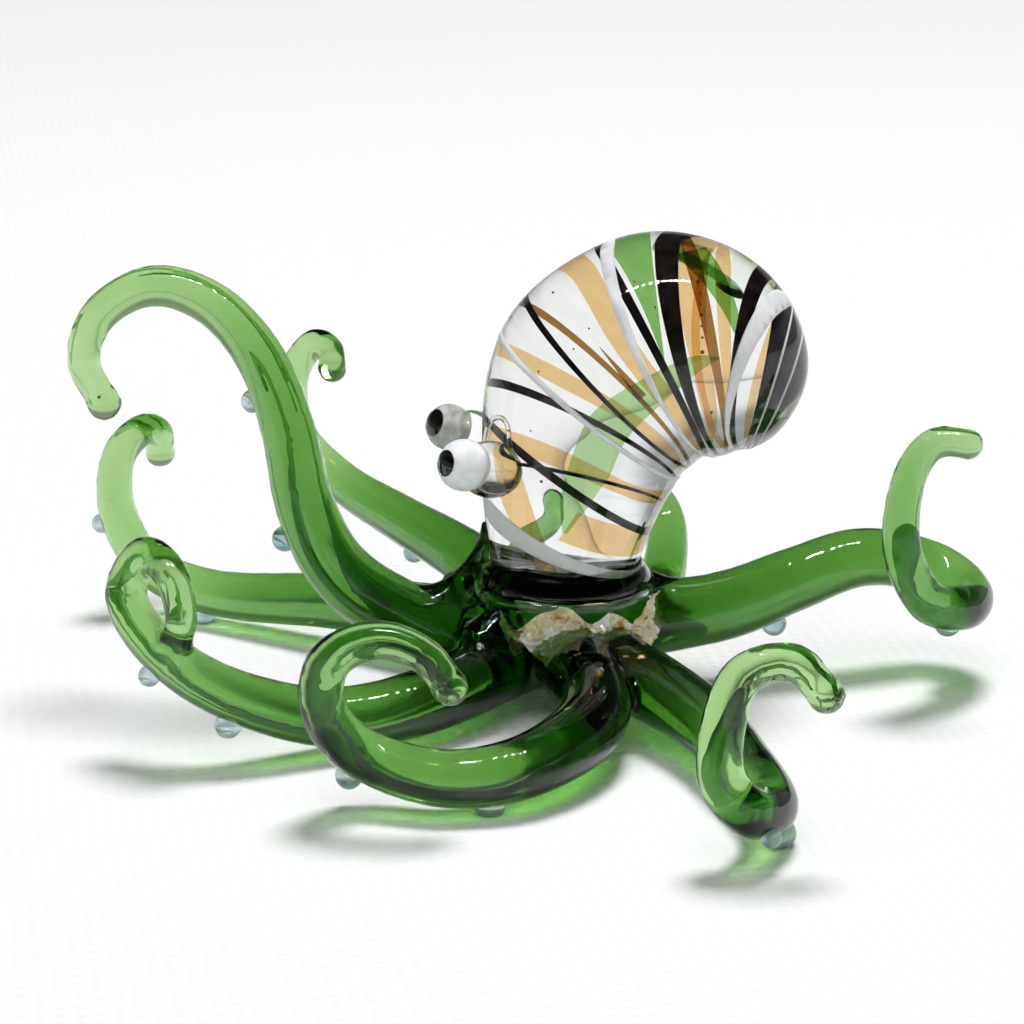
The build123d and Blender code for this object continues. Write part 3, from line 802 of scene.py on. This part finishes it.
mirrored = addNode(tree, "ShaderNodeMath", {"operation": "SUBTRACT", "use_clamp": True}, {
    0: path.outputs["Is Glossy Ray"], 1: path.outputs["Is Transmission Ray"]})
gloss = addNode(tree, "ShaderNodeMath", {"operation": "MULTIPLY_ADD"}, {  # the walls are dimmer than the cloth
    0: mirrored.outputs[0], 1: room["gloss"] - 1, 2: 1.0})
walls = addNode(tree, "ShaderNodeMath", {"operation": "MULTIPLY"}, {0: above.outputs[0], 1: gloss.outputs[0]})
dome = addNode(tree, "ShaderNodeMath", {"operation": "MAXIMUM"}, {
    0: walls.outputs[0], 1: path.outputs["Is Camera Ray"]})
light = addNode(tree, "ShaderNodeBackground", {}, {
    "Color": toLinear(room["white"]), "Strength": dome.outputs[0]})
addNode(tree, "ShaderNodeOutputWorld", {}, {"Surface": light.outputs[0]})
for k, (place, size, power, spread) in enumerate(room["lamps"]):
    lampData = bpy.data.lights.new("soft_lamp", "AREA")
    lampData.shape, lampData.size, lampData.energy, lampData.spread = "DISK", size, power, math.radians(spread)
    lamp = bpy.data.objects.new("soft_lamp_" + str(k), lampData)
    scene.collection.objects.link(lamp)
    lamp.location = spot(*place)
    lamp.rotation_mode = "QUATERNION"
    lamp.rotation_quaternion = (spot(*room["aim"]) - lamp.location).to_track_quat("-Z", "Y")
    lamp.visible_glossy = False

dots = {"count": 12, "gap": 42, "radius": 9, "place": (-20, -90, 640), "strength": 350}
material, tree = newMaterial("small_white_lamps")
glow = addNode(tree, "ShaderNodeEmission", {}, {"Color": (1, 1, 1, 1), "Strength": dots["strength"]})
addNode(tree, "ShaderNodeOutputMaterial", {}, {"Surface": glow.outputs[0]})
bm = bmesh.new()
x, y, z = dots["place"]
for k in range(dots["count"]):
    along = (k - (dots["count"] - 1) / 2) * dots["gap"]
    bmesh.ops.create_circle(bm, cap_ends=True, segments=12, radius=dots["radius"] * mm,
                            matrix=Matrix.Translation(spot(x + along, y, z)))
lampRow = newObject("lamp_row", bm)
lampRow.data.materials.append(material)
lampRow.visible_camera = lampRow.visible_diffuse = lampRow.visible_transmission = lampRow.visible_shadow = False
scene.view_settings.view_transform = "Standard"
print("stage ready")
